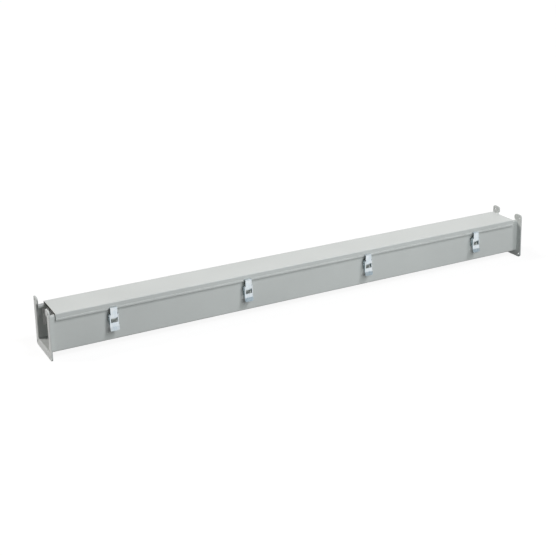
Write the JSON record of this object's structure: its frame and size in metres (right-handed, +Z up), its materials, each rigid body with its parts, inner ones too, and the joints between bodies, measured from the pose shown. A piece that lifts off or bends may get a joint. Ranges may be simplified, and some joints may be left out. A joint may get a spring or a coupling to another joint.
{
  "type": "hinged cover wireway",
  "caption": "Straight gasketed steel wireway: open-ended trough with bolted U-shaped end flanges, a hinged cover and front draw latches, for laying in and protecting cables.",
  "frame": {"origin": "middle of the length and of the section, at the height of the end flanges' bottom edges", "axes": "+X along the wireway towards the right flange, +Y towards the hinge at the back, +Z up through the cover"},
  "size_m": [1.524, 0.1376, 0.138],
  "materials": {
    "trough_paint": "light grey powder coat, satin",
    "flange_paint": "light grey powder coat, satin",
    "cover_paint": "light grey powder coat, satin",
    "hinge_paint": "light grey powder coat, satin",
    "gasket_foam": "closed-cell foam, matt",
    "hinge_pin_steel": "plain steel",
    "latch_zinc": "bright zinc plating"
  },
  "bodies": {
    "wireway_body": {"trough": "trough_paint", "left_end_flange": "flange_paint", "right_end_flange": "flange_paint", "hinge_body_leaf": "hinge_paint", "hinge_pin": "hinge_pin_steel", "latch_1_base": "latch_zinc", "latch_1_pivot_pin": "latch_zinc", "latch_2_base": "latch_zinc", "latch_2_pivot_pin": "latch_zinc", "latch_3_base": "latch_zinc", "latch_3_pivot_pin": "latch_zinc", "latch_4_base": "latch_zinc", "latch_4_pivot_pin": "latch_zinc"},
    "cover": {"cover": "cover_paint", "cover_gasket": "gasket_foam", "hinge_cover_leaf": "hinge_paint"},
    "lever_1": {"latch_1_lever": "latch_zinc", "latch_1_link_pin": "latch_zinc"},
    "hook_1": {"latch_1_hook": "latch_zinc"},
    "lever_2": {"latch_2_lever": "latch_zinc", "latch_2_link_pin": "latch_zinc"},
    "hook_2": {"latch_2_hook": "latch_zinc"},
    "lever_3": {"latch_3_lever": "latch_zinc", "latch_3_link_pin": "latch_zinc"},
    "hook_3": {"latch_3_hook": "latch_zinc"},
    "lever_4": {"latch_4_lever": "latch_zinc", "latch_4_link_pin": "latch_zinc"},
    "hook_4": {"latch_4_hook": "latch_zinc"}
  },
  "joints": [
    {"name": "cover_hinge", "type": "hinge", "parent": "wireway_body", "child": "cover", "pos_m": [0, 0.0541, 0.106], "axis": [-1, 0, 0], "range_deg": [0, 180]},
    {"name": "lever_1_pivot", "type": "hinge", "parent": "wireway_body", "child": "lever_1", "pos_m": [-0.588, -0.0583, 0.088], "axis": [-1, 0, 0], "range_deg": [0, 110]},
    {"name": "hook_1_link", "type": "hinge", "parent": "lever_1", "child": "hook_1", "pos_m": [-0.588, -0.0567, 0.0812], "axis": [1, 0, 0], "range_deg": [0, 110]},
    {"name": "lever_2_pivot", "type": "hinge", "parent": "wireway_body", "child": "lever_2", "pos_m": [-0.196, -0.0583, 0.088], "axis": [-1, 0, 0], "range_deg": [0, 110]},
    {"name": "hook_2_link", "type": "hinge", "parent": "lever_2", "child": "hook_2", "pos_m": [-0.196, -0.0567, 0.0812], "axis": [1, 0, 0], "range_deg": [0, 110]},
    {"name": "lever_3_pivot", "type": "hinge", "parent": "wireway_body", "child": "lever_3", "pos_m": [0.196, -0.0583, 0.088], "axis": [-1, 0, 0], "range_deg": [0, 110]},
    {"name": "hook_3_link", "type": "hinge", "parent": "lever_3", "child": "hook_3", "pos_m": [0.196, -0.0567, 0.0812], "axis": [1, 0, 0], "range_deg": [0, 110]},
    {"name": "lever_4_pivot", "type": "hinge", "parent": "wireway_body", "child": "lever_4", "pos_m": [0.588, -0.0583, 0.088], "axis": [-1, 0, 0], "range_deg": [0, 110]},
    {"name": "hook_4_link", "type": "hinge", "parent": "lever_4", "child": "hook_4", "pos_m": [0.588, -0.0567, 0.0812], "axis": [1, 0, 0], "range_deg": [0, 110]}
  ],
  "couplings": [
    {"joint": "hook_1_link", "follows": "lever_1_pivot", "ratio": 1},
    {"joint": "hook_2_link", "follows": "lever_2_pivot", "ratio": 1},
    {"joint": "hook_3_link", "follows": "lever_3_pivot", "ratio": 1},
    {"joint": "hook_4_link", "follows": "lever_4_pivot", "ratio": 1}
  ]
}
